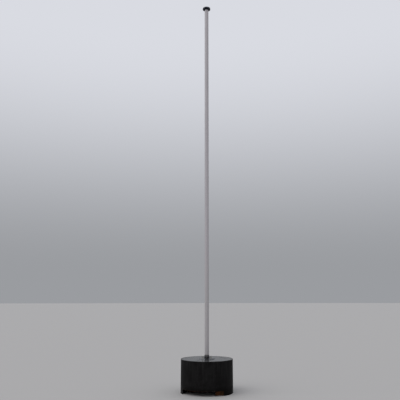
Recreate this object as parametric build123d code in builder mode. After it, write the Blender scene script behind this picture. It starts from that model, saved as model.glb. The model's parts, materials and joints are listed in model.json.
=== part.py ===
from build123d import *

import os

# A free-standing flagpole: a plain tubular mast with a black mushroom cap, held in a bolted
# steel socket at the middle of a round ballast drum. The drum stands on two curved feet with
# fork openings between them, and on two timber bearers that lie in those openings.
# Millimetres, +Z up, origin on the ground under the middle of the drum. The photographed
# front faces -Y and +X is to its right.

# Fork openings, front and back, turned clockwise seen from above
fork_turn = 12.5
fork_opening_width = 750
fork_opening_height = 85

# Timber bearers under the drum, just inside the two sides of the fork openings
bearer_width = 150
bearer_arris = 3
bearer_side_gap = 10
right_bearer_length = 480
right_bearer_forward = 40
left_bearer_length = 350
left_bearer_set_back = 120

# Rolled steel drum
drum_diameter = 955
drum_height = 500
shell_wall = 4
drum_floor_thickness = 6
weld_gap = 0.1

# Concrete fill, floated flat a little proud of the rim and down below it at the edge
fill_edge_drop = 2
fill_edge_fall = 4
fill_edge_fall_width = 25

# Flange of the mast socket
flange_diameter = 290
flange_thickness = 10

# Anchors that hold the flange down: threaded rods set in resin, with washers and nuts
anchor_count = 4
anchor_circle = 220
anchor_diameter = 16
anchor_hole_diameter = 18
anchor_depth = 110
anchor_end = 6
resin_gap = 0.05
nut_across_flats = 24
nut_height = 13
washer_diameter = 30
washer_thickness = 3

# Steel socket tube, with a boss on its floor that the mast slips over
socket_wall = 3.2
socket_above_flange = 51
socket_floor_thickness = 10
socket_cover = 35
locating_boss_height = 20
locating_boss_gap = 0.3
pocket_clearance = 3

# Clamp screws in threaded bosses round the socket
clamp_count = 3
clamp_screw_diameter = 12
clamp_screw_projection = 3
clamp_key_across_flats = 6
clamp_key_depth = 6
clamp_boss_diameter = 22
clamp_boss_projection = 8
thread_gap = 0.05

# Plastic bush that centres the mast in the top of the socket
bush_flange_thickness = 5
bush_flange_chamfer = 1.5
bush_depth = 20
bush_wall = 1.05
bush_gap = 0.1

# Mast tube
mast_diameter = 80
mast_wall = 3
mast_length = 7530
mast_chamfer = 0.6

# Moulded mushroom cap
cap_diameter = 160
cap_neck_height = 25
cap_edge_height = 16
cap_bevel_width = 18
cap_bevel_rise = 10
cap_lip_depth = 5
cap_lip_wall = 4
cap_rib_count = 8
cap_rib_thickness = 2.5
cap_rib_setback = 1
spigot_length = 55
spigot_wall = 4
spigot_gap = 0.3

# Levels above the ground, from the feet up to the cap
drum_bottom = fork_opening_height
drum_rim = drum_bottom + drum_height
fill_bottom = drum_bottom + drum_floor_thickness
fill_edge = drum_rim - fill_edge_drop
fill_top = fill_edge + fill_edge_fall
flange_top = fill_top + flange_thickness
nut_seat = flange_top + washer_thickness
anchor_top = nut_seat + nut_height + anchor_end
anchor_bottom = fill_top - anchor_depth
socket_top = flange_top + socket_above_flange
socket_bottom = fill_bottom + socket_cover
mast_foot = socket_bottom + socket_floor_thickness
bush_bottom = socket_top - bush_depth
clamp_level = (flange_top + bush_bottom) / 2
mast_top = mast_foot + mast_length
cap_underside = mast_top + cap_neck_height
cap_edge_top = cap_underside + cap_edge_height

# Radii that neighbouring pieces share
drum_radius = drum_diameter / 2
shell_bore_radius = drum_radius - shell_wall
fill_radius = shell_bore_radius - weld_gap
flange_radius = flange_diameter / 2
anchor_radius = anchor_diameter / 2
anchor_circle_radius = anchor_circle / 2
mast_radius = mast_diameter / 2
mast_bore_radius = mast_radius - mast_wall
bush_bore_radius = mast_radius + bush_gap
bush_outer_radius = bush_bore_radius + bush_wall
socket_bore_radius = bush_outer_radius + bush_gap
socket_radius = socket_bore_radius + socket_wall
pocket_radius = socket_radius + pocket_clearance

# The ground under the drum, with its Y running from the front opening to the back one
fork_ground = Plane.XY.rotated((0, 0, -fork_turn))
fork_direction = Axis((0, 0, 0), fork_ground.y_dir)
bearer_offset = fork_opening_width / 2 - bearer_side_gap - bearer_width / 2

os.makedirs("parts", exist_ok=True)


def finish(builder, label):
    """Name a finished piece and write it to its own file."""
    builder.part.label = label
    export_step(builder.part, f"parts/{label}.step")


def timber_bearer(label, length, x_middle, y_middle):
    """A rough-sawn beam laid along the fork openings, with its long arrises taken off."""
    with BuildPart() as bearer:
        with BuildSketch(fork_ground):
            with Locations((x_middle, y_middle)):
                Rectangle(bearer_width, length)
        extrude(amount=fork_opening_height)
        chamfer(bearer.edges().filter_by(fork_direction), bearer_arris)
    finish(bearer, label)


timber_bearer("bearer_right", right_bearer_length, bearer_offset, -right_bearer_forward)
timber_bearer("bearer_left", left_bearer_length, -bearer_offset, left_bearer_set_back)

# The feet carry the shell's own curve down to the ground on both sides of the openings.
foot_zone_width = drum_diameter - fork_opening_width
for side, zone_middle in (("left", -drum_radius), ("right", drum_radius)):
    with BuildPart() as drum_foot:
        with BuildSketch(fork_ground):
            Circle(drum_radius)
            Circle(shell_bore_radius, mode=Mode.SUBTRACT)
            with Locations((zone_middle, 0)):
                Rectangle(foot_zone_width, drum_diameter, mode=Mode.INTERSECT)
        extrude(amount=fork_opening_height)
    finish(drum_foot, f"drum_foot_{side}")

# The shell is a plate rolled to a ring, and the floor plate is welded inside its lower edge.
with BuildPart() as drum_shell:
    with BuildSketch(Plane.XY.offset(drum_bottom)):
        Circle(drum_radius)
        Circle(shell_bore_radius, mode=Mode.SUBTRACT)
    extrude(amount=drum_height)
finish(drum_shell, "drum_shell")

with BuildPart() as drum_floor:
    with BuildSketch(Plane.XY.offset(drum_bottom)):
        Circle(fill_radius)
    extrude(amount=drum_floor_thickness)
finish(drum_floor, "drum_floor")

# The fill has a formed pocket for the socket and a drilled hole for each anchor.
anchor_spots = PolarLocations(anchor_circle_radius, anchor_count, start_angle=45)
with BuildPart() as concrete_fill:
    with BuildSketch(Plane.XZ):
        with BuildLine():
            Polyline(
                (0, fill_bottom),
                (fill_radius, fill_bottom),
                (fill_radius, fill_edge),
                (fill_radius - fill_edge_fall_width, fill_top),
                (0, fill_top),
                close=True,
            )
        make_face()
    revolve(axis=Axis.Z)
    with Locations((0, 0, fill_top)):
        Hole(pocket_radius, depth=fill_top - socket_bottom + pocket_clearance)
    with BuildSketch(Plane.XY.offset(anchor_bottom)):
        with anchor_spots:
            Circle(anchor_radius + resin_gap)
    extrude(amount=anchor_depth, mode=Mode.SUBTRACT)
finish(concrete_fill, "concrete_fill")

with BuildPart() as socket_flange:
    with BuildSketch(Plane.XY.offset(fill_top)):
        Circle(flange_radius)
        Circle(socket_radius + weld_gap, mode=Mode.SUBTRACT)
        with anchor_spots:
            Circle(anchor_hole_diameter / 2, mode=Mode.SUBTRACT)
    extrude(amount=flange_thickness)
finish(socket_flange, "socket_flange")

for number, spot in enumerate(anchor_spots.locations, start=1):
    ground_plane = Plane(spot.position)
    with BuildPart() as anchor_bolt:
        with BuildSketch(ground_plane.offset(nut_seat)):
            RegularPolygon(nut_across_flats / 2, 6, major_radius=False)
        extrude(amount=nut_height)
        with BuildSketch(ground_plane.offset(flange_top)):
            Circle(washer_diameter / 2)
        extrude(amount=washer_thickness)
        with BuildSketch(ground_plane.offset(anchor_bottom)):
            Circle(anchor_radius)
        extrude(amount=anchor_top - anchor_bottom)
    finish(anchor_bolt, f"anchor_bolt_{number}")


def clamp_plane(number, radius):
    """The plane across a clamp screw's axis at this radius, facing away from the mast."""
    outwards = Vector(0, -1, 0).rotate(Axis.Z, number * 360 / clamp_count)
    return Plane(origin=outwards * radius + Vector(0, 0, clamp_level), z_dir=outwards)


clamp_boss_tip = socket_radius + clamp_boss_projection
clamp_boss_root = socket_radius - socket_wall / 2
with BuildPart() as socket_tube:
    with BuildSketch(Plane.XZ):
        with BuildLine():
            Polyline(
                (0, socket_bottom),
                (socket_radius, socket_bottom),
                (socket_radius, socket_top),
                (socket_bore_radius, socket_top),
                (socket_bore_radius, mast_foot),
                (mast_bore_radius - locating_boss_gap, mast_foot),
                (mast_bore_radius - locating_boss_gap, mast_foot + locating_boss_height),
                (0, mast_foot + locating_boss_height),
                close=True,
            )
        make_face()
    revolve(axis=Axis.Z)
    for number in range(clamp_count):
        with BuildSketch(clamp_plane(number, clamp_boss_root)):
            Circle(clamp_boss_diameter / 2)
        extrude(amount=clamp_boss_tip - clamp_boss_root)
        with BuildSketch(clamp_plane(number, mast_radius)):
            Circle(clamp_screw_diameter / 2 + thread_gap)
        extrude(amount=clamp_boss_tip - mast_radius, mode=Mode.SUBTRACT)
finish(socket_tube, "socket_tube")

# Grub screws with a hexagon socket, whose tips press on the mast.
screw_tip = mast_radius + thread_gap
screw_head = clamp_boss_tip + clamp_screw_projection
for number in range(clamp_count):
    with BuildPart() as clamp_screw:
        with BuildSketch(clamp_plane(number, screw_tip)):
            Circle(clamp_screw_diameter / 2)
        extrude(amount=screw_head - screw_tip)
        with BuildSketch(clamp_plane(number, screw_head)):
            RegularPolygon(clamp_key_across_flats / 2, 6, major_radius=False)
        extrude(amount=-clamp_key_depth, mode=Mode.SUBTRACT)
    finish(clamp_screw, f"clamp_screw_{number + 1}")

with BuildPart() as socket_bush:
    with BuildSketch(Plane.XZ):
        with BuildLine():
            Polyline(
                (bush_bore_radius, bush_bottom),
                (bush_outer_radius, bush_bottom),
                (bush_outer_radius, socket_top),
                (socket_radius, socket_top),
                (socket_radius, socket_top + bush_flange_thickness),
                (bush_bore_radius, socket_top + bush_flange_thickness),
                close=True,
            )
        make_face()
    revolve(axis=Axis.Z)
    bush_rim = socket_bush.edges().group_by(Axis.Z)[-1].sort_by(SortBy.RADIUS)[-1]
    chamfer(bush_rim, bush_flange_chamfer)
finish(socket_bush, "socket_bush")

with BuildPart() as mast_tube:
    with BuildSketch(Plane.XY.offset(mast_foot)):
        Circle(mast_radius)
        Circle(mast_bore_radius, mode=Mode.SUBTRACT)
    extrude(amount=mast_length)
    for end in (0, -1):
        end_edges = mast_tube.edges().group_by(Axis.Z)[end]
        chamfer(end_edges.sort_by(SortBy.RADIUS)[-1], mast_chamfer)
finish(mast_tube, "mast_tube")

# The cap is one moulding: a disc with a broad bevel, a drip lip and ribs under it, a neck as
# wide as the mast, and a hollow spigot inside the tube.
cap_radius = cap_diameter / 2
cap_lip_bore = cap_radius - cap_lip_wall
cap_lip_bottom = cap_underside - cap_lip_depth
cap_top = cap_edge_top + cap_bevel_rise
spigot_radius = mast_bore_radius - spigot_gap
spigot_bottom = mast_top - spigot_length
with BuildPart() as top_cap:
    with BuildSketch(Plane.XZ):
        with BuildLine():
            Polyline(
                (0, cap_top),
                (cap_radius - cap_bevel_width, cap_top),
                (cap_radius, cap_edge_top),
                (cap_radius, cap_lip_bottom),
                (cap_lip_bore, cap_lip_bottom),
                (cap_lip_bore, cap_underside),
                (mast_radius, cap_underside),
                (mast_radius, mast_top),
                (spigot_radius, mast_top),
                (spigot_radius, spigot_bottom),
                (spigot_radius - spigot_wall, spigot_bottom),
                (spigot_radius - spigot_wall, cap_edge_top),
                (0, cap_edge_top),
                close=True,
            )
        make_face()
    revolve(axis=Axis.Z)
    rib_length = cap_lip_bore - mast_radius + cap_lip_wall
    rib_middle = (cap_lip_bore + mast_radius) / 2
    with BuildSketch(Plane.XY.offset(cap_lip_bottom + cap_rib_setback)):
        with PolarLocations(rib_middle, cap_rib_count):
            Rectangle(rib_length, cap_rib_thickness)
    extrude(amount=cap_lip_depth)
finish(top_cap, "top_cap")
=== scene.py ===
# %% [markdown]
# # A free-standing flagpole
#
# The object is a plain tubular mast, 7.5 m long, with a black mushroom cap. Its foot stands
# in a bolted steel socket at the middle of a round ballast drum, which is a rolled steel
# shell filled with concrete. The drum has two curved feet with fork openings between them,
# and two timber bearers lie in those openings.
#
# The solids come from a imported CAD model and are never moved. This file gives them their
# finishes, and it models again those whose real surface has more to it: the rolled shell, the
# floated concrete, the sawn timbers, the threaded fasteners and the ribbed cap. It adds the
# weld beads. Lengths are in metres, the floor is at z = 0, the middle of the drum is at
# x = y = 0, and the front faces -Y.

# %% Load the frame
import json
import math

import bmesh
import bpy
from mathutils import Matrix, Vector, noise


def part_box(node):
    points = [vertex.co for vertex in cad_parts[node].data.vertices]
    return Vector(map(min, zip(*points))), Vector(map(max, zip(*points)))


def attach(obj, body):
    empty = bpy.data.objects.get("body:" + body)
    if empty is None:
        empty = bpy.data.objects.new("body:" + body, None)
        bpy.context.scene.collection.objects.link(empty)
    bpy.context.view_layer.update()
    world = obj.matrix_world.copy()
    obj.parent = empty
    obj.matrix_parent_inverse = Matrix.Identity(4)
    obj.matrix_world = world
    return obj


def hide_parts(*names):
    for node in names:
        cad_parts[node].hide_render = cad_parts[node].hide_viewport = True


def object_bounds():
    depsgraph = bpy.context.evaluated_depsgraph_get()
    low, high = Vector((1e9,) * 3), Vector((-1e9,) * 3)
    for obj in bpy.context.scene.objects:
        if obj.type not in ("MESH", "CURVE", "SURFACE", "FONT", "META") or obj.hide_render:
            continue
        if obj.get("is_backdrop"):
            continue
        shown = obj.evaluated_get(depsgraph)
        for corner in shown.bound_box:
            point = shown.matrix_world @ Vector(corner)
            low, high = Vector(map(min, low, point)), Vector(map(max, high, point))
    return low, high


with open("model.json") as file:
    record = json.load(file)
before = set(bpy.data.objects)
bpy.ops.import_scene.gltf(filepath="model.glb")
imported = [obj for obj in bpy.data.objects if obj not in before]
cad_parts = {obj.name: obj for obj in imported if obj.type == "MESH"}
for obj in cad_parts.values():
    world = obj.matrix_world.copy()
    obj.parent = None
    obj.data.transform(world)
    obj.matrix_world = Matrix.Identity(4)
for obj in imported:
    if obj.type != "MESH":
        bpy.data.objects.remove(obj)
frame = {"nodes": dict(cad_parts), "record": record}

cad_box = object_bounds()
print("CAD nodes:", len(frame["nodes"]), "box:", [tuple(round(c, 3) for c in p) for p in cad_box])

# %% [markdown]
# ## Levels and radii
#
# Nothing here is measured twice. A box round a CAD node gives its lowest and highest corner,
# and those give the radii and levels that the new pieces have to meet. When the CAD model
# changes, the looks follow. Only sizes that the CAD does not hold, such as the width of a weld
# bead or the pitch of a thread, are written in this file as real sizes.


# %% Read the sizes off the CAD nodes
def radius_of(node):
    """Half the width of a round CAD node."""
    low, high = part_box(node)
    return (high.x - low.x) / 2


MM = 0.001
drum_radius = radius_of("drum_shell")
fill_radius = radius_of("concrete_fill")
flange_radius = radius_of("socket_flange")
mast_radius = radius_of("mast_tube")
# The bosses widen the socket's own box, but the rim of the bush is as wide as the tube
socket_radius = radius_of("socket_bush")
shell_low, shell_high = (corner.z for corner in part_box("drum_shell"))
fill_low, fill_high = (corner.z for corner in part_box("concrete_fill"))
flange_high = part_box("socket_flange")[1].z
socket_low, socket_high = (corner.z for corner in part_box("socket_tube"))
print("drum radius", round(drum_radius, 3), "rim at", round(shell_high, 3))
print("mast radius", round(mast_radius, 3), "foot in the socket at", round(socket_low, 3))

# %% [markdown]
# ## Finishes are small node networks
#
# Each finish is a network of shader nodes that reads Object coordinates, which are metres in
# the shared frame, so a pattern has a real size and stays where it is from every side. Two
# helpers are enough to build one: the first turns a colour as it is picked on a screen into the
# linear value that light works in, and the second adds a node of any kind, with its settings
# and its links, and gives back the output that the next node reads.


# %% Two helpers for the finishes
def linear(hex_colour):
    """The linear RGBA of an sRGB colour written as '#rrggbb'."""
    parts = [int(hex_colour[place:place + 2], 16) / 255 for place in (1, 3, 5)]
    return tuple(c / 12.92 if c <= 0.04045 else ((c + 0.055) / 1.055) ** 2.4 for c in parts) + (1.0,)


def add(finish, kind, output, inputs, **settings):
    """Add a shader node and give back one output; an input is a constant or such an output."""
    made = finish.node_tree.nodes.new("ShaderNode" + kind)
    for setting, value in settings.items():
        setattr(made, setting, value)
    for socket, value in inputs.items():
        if isinstance(value, bpy.types.NodeSocket):
            finish.node_tree.links.new(value, made.inputs[socket])
        else:
            made.inputs[socket].default_value = value
    return made.outputs[output] if output is not None else None


# %% [markdown]
# ## Masks say where something has happened
#
# Dirt, rust and wear are each a mask from 0 to 1 and a colour. A mask comes from one of four
# causes: chance, which is a noise of a real grain size, a place along an axis, the distance
# from the mast, or the border between two cells. A Map Range node then sets where the mask
# begins and where it is full, and its smooth step leaves no hard border.


# %% Masks by chance and by place
def patches(finish, where, grain, low, high, detail=3.0, rough=0.6, pull=None):
    """Noise patches as large as `grain`, 0 below `low` and 1 above `high`; `pull` gathers them."""
    noise_at = {"Vector": where, "Scale": 1 / grain, "Detail": detail, "Roughness": rough}
    cloud = add(finish, "TexNoise", "Fac", noise_at)
    if pull is not None:
        cloud = add(finish, "Math", "Value", {0: cloud, 1: pull}, operation="ADD")
    climb = {"Value": cloud, "From Min": low, "From Max": high}
    return add(finish, "MapRange", "Result", climb, interpolation_type="SMOOTHSTEP")


def fade(finish, where, axis, low, high, start=0.0, end=1.0, about=None):
    """A fade along an axis, or with the distance from the place `about` on that axis."""
    place = add(finish, "SeparateXYZ", axis, {"Vector": where})
    if about is not None:
        beyond = add(finish, "Math", "Value", {0: place, 1: about}, operation="SUBTRACT")
        place = add(finish, "Math", "Value", {0: beyond}, operation="ABSOLUTE")
    climb = {"Value": place, "From Min": low, "From Max": high, "To Min": start, "To Max": end}
    return add(finish, "MapRange", "Result", climb, interpolation_type="SMOOTHSTEP")


def fade_outwards(finish, where, low, high, start=0.0, end=1.0):
    """A fade with the distance from the mast's axis."""
    flat = add(finish, "VectorMath", "Vector", {0: where, 1: (1.0, 1.0, 0.0)}, operation="MULTIPLY")
    reach = add(finish, "VectorMath", "Value", {0: flat}, operation="LENGTH")
    climb = {"Value": reach, "From Min": low, "From Max": high, "To Min": start, "To Max": end}
    return add(finish, "MapRange", "Result", climb, interpolation_type="SMOOTHSTEP")


def cell_borders(finish, where, cell, full, gone):
    """Thin lines along the borders of cells, for scratches and cracks."""
    cells = {"Vector": where, "Scale": 1 / cell}
    away = add(finish, "TexVoronoi", "Distance", cells, feature="DISTANCE_TO_EDGE")
    climb = {"Value": away, "From Min": full, "From Max": gone, "To Min": 1.0, "To Max": 0.0}
    return add(finish, "MapRange", "Result", climb, interpolation_type="SMOOTHSTEP")


# %% [markdown]
# A colour is laid over another as strongly as its masks say, multiplied together. A Mix node
# keeps a socket for every kind of data, and its colour sockets have numbers: 0 is the factor,
# 6 and 7 are the two colours and 2 is the mixed colour. Every finish starts from the Object
# coordinates and ends in a Principled surface, whose relief is a chain of bumps of real depth.


# %% Start, layers and end of a finish
FACTOR, COLOUR_A, COLOUR_B, MIXED = 0, 6, 7, 2


def start_finish(name):
    """An empty material and its Object coordinates."""
    finish = bpy.data.materials.new(name)
    finish.use_nodes = True
    finish.node_tree.nodes.clear()
    return finish, add(finish, "TexCoord", "Object", {})


def layer(finish, under, colour, *masks):
    """The colour laid over what is under it, as strongly as the masks multiplied together."""
    strength = masks[0]
    for mask in masks[1:]:
        strength = add(finish, "Math", "Value", {0: strength, 1: mask}, operation="MULTIPLY")
    base = linear(under) if isinstance(under, str) else under
    sockets = {FACTOR: strength, COLOUR_A: base, COLOUR_B: linear(colour)}
    return add(finish, "Mix", MIXED, sockets, data_type="RGBA")


def end_finish(finish, colour, varied=None, relief=(), **fixed):
    """A Principled surface; `varied` gives sockets as (mask, value at 0, value at 1)."""
    inputs = {name.replace("_", " "): value for name, value in fixed.items()}
    inputs["Base Color"] = colour
    for name, (mask, start, end) in (varied or {}).items():
        climb = {"Value": mask, "To Min": start, "To Max": end}
        inputs[name] = add(finish, "MapRange", "Result", climb, interpolation_type="SMOOTHSTEP")
    for height, depth, strength in relief:
        bump = {"Height": height, "Distance": depth, "Strength": strength}
        if "Normal" in inputs:
            bump["Normal"] = inputs["Normal"]
        inputs["Normal"] = add(finish, "Bump", "Normal", bump)
    surface = add(finish, "BsdfPrincipled", "BSDF", inputs)
    add(finish, "OutputMaterial", None, {"Surface": surface})
    print("finish:", finish.name, "with", len(finish.node_tree.nodes), "nodes")
    return finish


# %% [markdown]
# ## Powder-coated aluminium: the mast
#
# The mast is an extruded aluminium tube with a pale polyester powder coat. Powder melts in an
# oven and leaves a satin skin with a faint orange peel. Rain has drawn long thin streaks down
# it, its colour is greyer over its lowest two metres, more so towards the bottom, and a ring of
# dirt stays where water stands on the bush. The streaks are a noise squeezed to 9 mm across
# the tube and pulled to 0.7 m along it.


# %% Powder-coated aluminium
def powder_coated_aluminium():
    """Pale satin polyester powder coat with rain streaks and a greyer foot."""
    finish, where = start_finish("powder_coated_aluminium")
    rain = add(finish, "Mapping", "Vector", {"Vector": where, "Scale": (1.0, 1.0, 9 / 700)})
    streaks = patches(finish, rain, 9 * MM, 0.45, 0.75, detail=4.0)
    washed = layer(finish, "#b8b3b6", "#a29e9f", streaks, 0.6)
    # Greyer towards the bottom of the mast, fading out upwards
    greyer_below = fade(finish, where, "Z", socket_high + 700 * MM, socket_high + 2200 * MM, 0.5, 0.0)
    greyed = layer(finish, washed, "#a4a2a0", greyer_below)
    tide = fade(finish, where, "Z", socket_high + 4 * MM, socket_high + 30 * MM, 0.6, 0.0)
    dirt = patches(finish, where, 8 * MM, 0.3, 0.6, detail=4.0)
    peel = add(finish, "TexNoise", "Fac", {"Vector": where, "Scale": 1 / (3 * MM), "Detail": 1.0})
    return end_finish(
        finish,
        layer(finish, greyed, "#5f5b55", tide, dirt),
        varied={"Roughness": (streaks, 0.36, 0.5)},
        relief=[(peel, 0.03 * MM, 1.0)],
    )


# %% [markdown]
# ## Moulded nylon: the cap and the bush
#
# Both are injection mouldings. The mould was spark-eroded, which leaves a fine even grain with
# a satin gleam and no clear mirror image. The cap is black and has some dust and bird lime
# washed thin on its dome; the bush is a slightly lighter dark grey.


# %% Moulded nylon
def moulded_nylon(name, colour, dust_colour):
    """Satin nylon with a spark-eroded grain, and dust on what faces up."""
    finish, where = start_finish(name)
    facing = add(finish, "NewGeometry", "Normal", {})
    lying = fade(finish, facing, "Z", 0.55, 1.0)
    specks = patches(finish, where, 25 * MM, 0.4, 0.75)
    dust = add(finish, "Math", "Value", {0: lying, 1: specks}, operation="MULTIPLY")
    grain = add(finish, "TexNoise", "Fac", {"Vector": where, "Scale": 1 / (0.8 * MM), "Detail": 2.0})
    return end_finish(
        finish,
        layer(finish, colour, dust_colour, dust, 0.5),
        varied={"Roughness": (dust, 0.42, 0.75)},
        relief=[(grain, 0.05 * MM, 1.0)],
        Specular_IOR_Level=0.4,
    )


# %% [markdown]
# ## Painted steel: the socket
#
# The socket tube was painted by hand in dark grey after welding. Brush paint levels to a soft
# gloss. It is darker towards its foot: partly wet paint that dries last, and partly painted
# shade where the socket stands on the flange. Where a spanner or the mast has struck it, chips
# go down to red-brown rust, and they gather along the top edge.


# %% Painted steel of the socket
def painted_socket_steel():
    """Dark grey brush paint, with rusty chips that gather towards the top edge."""
    finish, where = start_finish("brush_painted_steel")
    streaky = add(finish, "Mapping", "Vector", {"Vector": where, "Scale": (1.0, 1.0, 0.25)})
    dry = layer(finish, "#505154", "#5e5b57", patches(finish, streaky, 12 * MM, 0.45, 0.8))
    # Darker towards the foot: wet paint and painted shade where the socket meets the flange
    soaked = fade(finish, where, "Z", flange_high + 6 * MM, socket_high - 8 * MM, 1.0, 0.0)
    painted = layer(finish, dry, "#17181a", soaked)
    near_top = fade(finish, where, "Z", socket_high - 9 * MM, socket_high, 0.0, 0.16)
    chips = patches(finish, where, 7 * MM, 0.66, 0.69, detail=5.0, rough=0.7, pull=near_top)
    level = add(finish, "Mapping", "Vector", {"Vector": where, "Scale": (1.0, 1.0, 8.0)})
    bristles = {"Vector": level, "Scale": 1 / (10 * MM), "Detail": 2.0}
    brush_marks = add(finish, "TexNoise", "Fac", bristles)
    whole_paint = add(finish, "Math", "Value", {0: 1.0, 1: chips}, operation="SUBTRACT")
    return end_finish(
        finish,
        layer(finish, painted, "#4a2d1d", chips),
        varied={"Roughness": (chips, 0.38, 0.85)},
        relief=[(brush_marks, 0.08 * MM, 1.0), (whole_paint, 0.15 * MM, 1.0)],
        Specular_IOR_Level=0.35,
    )


# %% [markdown]
# ## Hot-dip galvanised steel: the flange
#
# The plate was dipped in molten zinc, which froze in flat crystals about 12 mm across, called
# spangle. A Voronoi texture gives each crystal its own shade. Years of rain turned the zinc
# dull and left white rust in blotches, and the nuts have bled a little brown on it. Round the
# socket's foot lies a dark ring, partly silt washed down the mast and partly painted shade where
# the socket stands on the plate. The plate's top is under a film of water now, so it is as dark
# and smooth as the wet concrete beside it. The middle of the front of its edge, under the
# socket, is laid just as dark and smooth as painted shade of the socket above it. The rest of
# the edge has drained and shows the paler zinc. The normal and the place tell them apart.


# %% Hot-dip galvanised steel
def galvanised_steel():
    """Dull zinc with spangle, white rust, silt and painted shade, dark and smooth under water."""
    finish, where = start_finish("hot_dip_galvanised_steel")
    facing = add(finish, "NewGeometry", "Normal", {})
    lying = fade(finish, facing, "Z", 0.4, 0.9)
    # Painted shade: the middle of the edge's front, under the socket, is laid as dark as the wet top
    at_front = fade(finish, where, "Y", 5 * MM - flange_radius, 25 * MM - flange_radius, 1.0, 0.0)
    at_middle = fade(finish, where, "X", 30 * MM, 50 * MM, 1.0, 0.0, about=0.0)
    painted_socket_shade = add(finish, "Math", "Value", {0: at_front, 1: at_middle}, operation="MULTIPLY")
    wet_film_and_painted_shade = add(finish, "Math", "Value", {0: lying, 1: painted_socket_shade}, operation="MAXIMUM")
    crystals = add(finish, "TexVoronoi", "Color", {"Vector": where, "Scale": 1 / (12 * MM)})
    shade = add(finish, "SeparateColor", "Red", {"Color": crystals})
    drained = layer(finish, "#8f9194", "#a6a8ab", shade)
    wet_and_shaded_zinc = layer(finish, "#37393c", "#47494d", shade)
    white_rust = patches(finish, where, 30 * MM, 0.5, 0.66, detail=5.0)
    bleeding = patches(finish, where, 18 * MM, 0.6, 0.75, detail=4.0)
    stained = layer(finish, layer(finish, wet_and_shaded_zinc, "#565856", white_rust, 0.7), "#43301f", bleeding, 0.5)
    # Silt with painted shade: a dark ring round the socket's foot, where it stands on the plate
    dark_ring_start, dark_ring_end = socket_radius + 6 * MM, socket_radius + 50 * MM
    silt_and_painted_shade = fade_outwards(finish, where, dark_ring_start, dark_ring_end, 0.85, 0.0)
    ragged = patches(finish, where, 12 * MM, 0.2, 0.5, detail=4.0)
    silted_and_shaded = layer(finish, stained, "#191816", silt_and_painted_shade, ragged)
    dulled = add(finish, "Math", "Value", {0: white_rust, 1: bleeding}, operation="MAXIMUM")
    either = {FACTOR: wet_film_and_painted_shade, COLOUR_A: drained, COLOUR_B: silted_and_shaded}
    return end_finish(
        finish,
        add(finish, "Mix", MIXED, either, data_type="RGBA"),
        varied={"Metallic": (dulled, 0.12, 0.0), "Roughness": (wet_film_and_painted_shade, 0.55, 0.12)},
        relief=[(shade, 0.02 * MM, 1.0)],
        Specular_IOR_Level=0.08,
    )


# %% [markdown]
# ## Zinc-plated steel: nuts, washers, rods and screws
#
# Bought fasteners have a thin bright zinc plating with a slight yellow cast. Rain dulls it, and
# orange-brown rust comes through in spots and roughens the surface. The clamp screws have lost
# most of theirs, because the key scrapes it off whenever the mast is taken out, so within
# 70 mm of the mast's axis the rust spreads.


# %% Zinc-plated steel
def zinc_plated_steel():
    """Thin zinc plating, dulled by rain, with rust coming through in spots."""
    finish, where = start_finish("zinc_plated_steel")
    scraped = fade_outwards(finish, where, 66 * MM, 74 * MM, 0.24, 0.0)
    rust = patches(finish, where, 9 * MM, 0.6, 0.72, detail=6.0, rough=0.7, pull=scraped)
    dull = patches(finish, where, 4 * MM, 0.4, 0.7)
    plating = layer(finish, "#bdbcb4", "#97968f", dull)
    rusty = layer(finish, "#55321f", "#2f1d14", dull)
    either = {FACTOR: rust, COLOUR_A: plating, COLOUR_B: rusty}
    return end_finish(
        finish,
        add(finish, "Mix", MIXED, either, data_type="RGBA"),
        varied={"Roughness": (rust, 0.36, 0.88)},
        relief=[(rust, 0.1 * MM, 1.0)],
        Metallic=add(finish, "Math", "Value", {0: 1.0, 1: rust}, operation="SUBTRACT"),
    )


# %% [markdown]
# ## Matt black paint on rolled plate: the drum
#
# The shell, its feet and its floor were rolled from black-painted plate. The paint is matt and
# nearly black, and everything that makes it look real is faint: cloudy fading some 150 mm
# across, runs of dirty water from the rim, mud splashes in the lowest 110 mm, a colour that
# grows darker and a little smoother towards the bottom, scuffs where straps and boots have
# rubbed, and thin scratches, each a stretch of the straight border between two long cells.
# Along the rim, the feet's lower edge, the edges of the fork openings and the upright weld the
# paint is chipped down to rust.
# Each is a mask of its own, and they are laid one over the other from the paint outwards.
#
# So the paint has to know where the fork openings are. A foot's two ends tell that: the middle
# between their angles is the turn of the openings, and half the angle between them gives how
# far the openings reach from the middle. The upright weld is at the back left.

# %% Find the fork openings and the weld
foot_low, foot_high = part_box("drum_foot_right")
foot_ends = [math.asin(end / drum_radius) for end in (foot_low.y, foot_high.y)]
fork_turn = -sum(foot_ends) / 2
half_opening = drum_radius * math.cos((foot_ends[1] - foot_ends[0]) / 2)
SEAM_ANGLE = math.radians(128)
print("the fork openings are turned by", round(math.degrees(fork_turn), 1), "degrees")


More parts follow.
